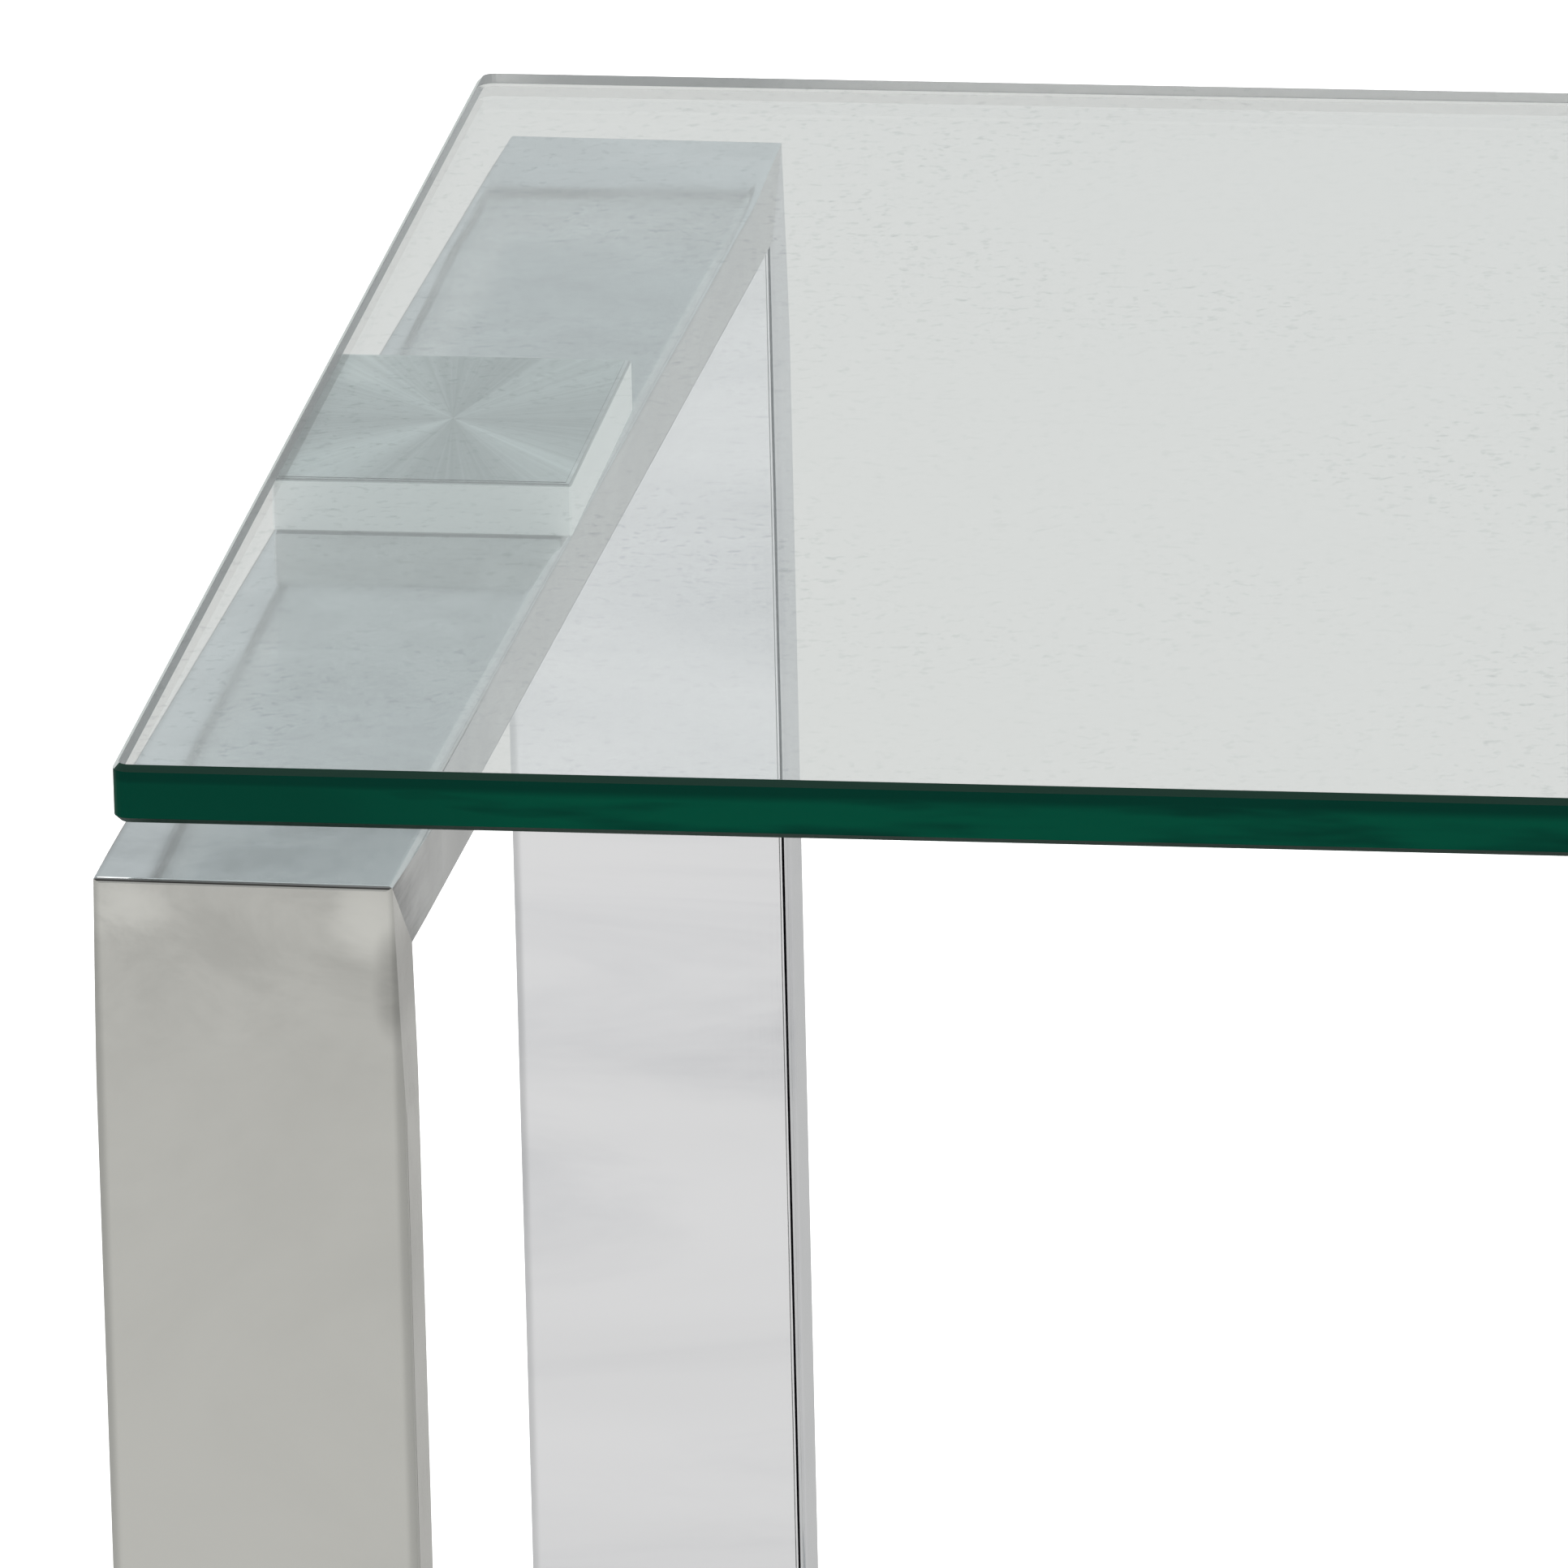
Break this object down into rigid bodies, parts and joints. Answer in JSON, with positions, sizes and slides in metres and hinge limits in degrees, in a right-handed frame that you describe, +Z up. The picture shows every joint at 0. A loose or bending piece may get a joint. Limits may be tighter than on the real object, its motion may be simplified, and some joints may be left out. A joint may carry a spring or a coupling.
{
  "type": "console table",
  "caption": "Glass-topped console table on two polished steel tube frames, joined to the glass by bonded blocks and standing on levelling feet.",
  "frame": {"origin": "on the floor under the middle of the table", "axes": "+X along the table's length to its right end, +Y to its back edge, +Z up"},
  "size_m": [1.209, 0.401, 0.75],
  "materials": {
    "clear_glass": "clear float glass with polished deep-green edges and a ground arris",
    "polished_steel": "mirror-polished stainless steel, hand-ground at the corners",
    "turned_steel": "spin-brushed from the middle on top, polished on the sides",
    "clear_adhesive": "clear cured adhesive",
    "bright_fastener": "bright stainless steel",
    "grey_plastic": "satin grey plastic",
    "zinc_plate": "zinc-plated steel",
    "black_nylon": "moulded black nylon"
  },
  "bodies": {
    "table": {"glass_top": "clear_glass", "left_front_leg": "polished_steel", "left_rear_leg": "polished_steel", "left_top_rail": "polished_steel", "left_bottom_rail": "polished_steel", "left_mounting_block": "turned_steel", "left_bond_film": "clear_adhesive", "left_mounting_bolts": "bright_fastener", "left_mounting_washers": "bright_fastener", "left_access_plugs": "grey_plastic", "left_foot_inserts": "zinc_plate", "right_front_leg": "polished_steel", "right_rear_leg": "polished_steel", "right_top_rail": "polished_steel", "right_bottom_rail": "polished_steel", "right_mounting_block": "turned_steel", "right_bond_film": "clear_adhesive", "right_mounting_bolts": "bright_fastener", "right_mounting_washers": "bright_fastener", "right_access_plugs": "grey_plastic", "right_foot_inserts": "zinc_plate"},
    "left_front_foot_stud": {"left_front_foot_stud": "zinc_plate"},
    "left_front_foot_base": {"left_front_foot_base": "black_nylon"},
    "left_rear_foot_stud": {"left_rear_foot_stud": "zinc_plate"},
    "left_rear_foot_base": {"left_rear_foot_base": "black_nylon"},
    "right_front_foot_stud": {"right_front_foot_stud": "zinc_plate"},
    "right_front_foot_base": {"right_front_foot_base": "black_nylon"},
    "right_rear_foot_stud": {"right_rear_foot_stud": "zinc_plate"},
    "right_rear_foot_base": {"right_rear_foot_base": "black_nylon"}
  },
  "joints": [
    {"name": "left_front_foot_height", "type": "slide", "parent": "table", "child": "left_front_foot_stud", "axis": [0, 0, -1], "range_m": [0, 0.008]},
    {"name": "left_front_foot_turn", "type": "hinge", "parent": "left_front_foot_stud", "child": "left_front_foot_base", "pos_m": [-0.57772, -0.16396, 0.003], "axis": [0, 0, -1], "range_deg": [0, 2304]},
    {"name": "left_rear_foot_height", "type": "slide", "parent": "table", "child": "left_rear_foot_stud", "axis": [0, 0, -1], "range_m": [0, 0.008]},
    {"name": "left_rear_foot_turn", "type": "hinge", "parent": "left_rear_foot_stud", "child": "left_rear_foot_base", "pos_m": [-0.57028, 0.16396, 0.003], "axis": [0, 0, -1], "range_deg": [0, 2304]},
    {"name": "right_front_foot_height", "type": "slide", "parent": "table", "child": "right_front_foot_stud", "axis": [0, 0, -1], "range_m": [0, 0.008]},
    {"name": "right_front_foot_turn", "type": "hinge", "parent": "right_front_foot_stud", "child": "right_front_foot_base", "pos_m": [0.57772, -0.16396, 0.003], "axis": [0, 0, -1], "range_deg": [0, 2304]},
    {"name": "right_rear_foot_height", "type": "slide", "parent": "table", "child": "right_rear_foot_stud", "axis": [0, 0, -1], "range_m": [0, 0.008]},
    {"name": "right_rear_foot_turn", "type": "hinge", "parent": "right_rear_foot_stud", "child": "right_rear_foot_base", "pos_m": [0.57028, 0.16396, 0.003], "axis": [0, 0, -1], "range_deg": [0, 2304]}
  ],
  "couplings": [
    {"joint": "left_front_foot_height", "follows": "left_front_foot_turn", "m_per_rad": 0.00019894},
    {"joint": "left_rear_foot_height", "follows": "left_rear_foot_turn", "m_per_rad": 0.00019894},
    {"joint": "right_front_foot_height", "follows": "right_front_foot_turn", "m_per_rad": 0.00019894},
    {"joint": "right_rear_foot_height", "follows": "right_rear_foot_turn", "m_per_rad": 0.00019894}
  ]
}
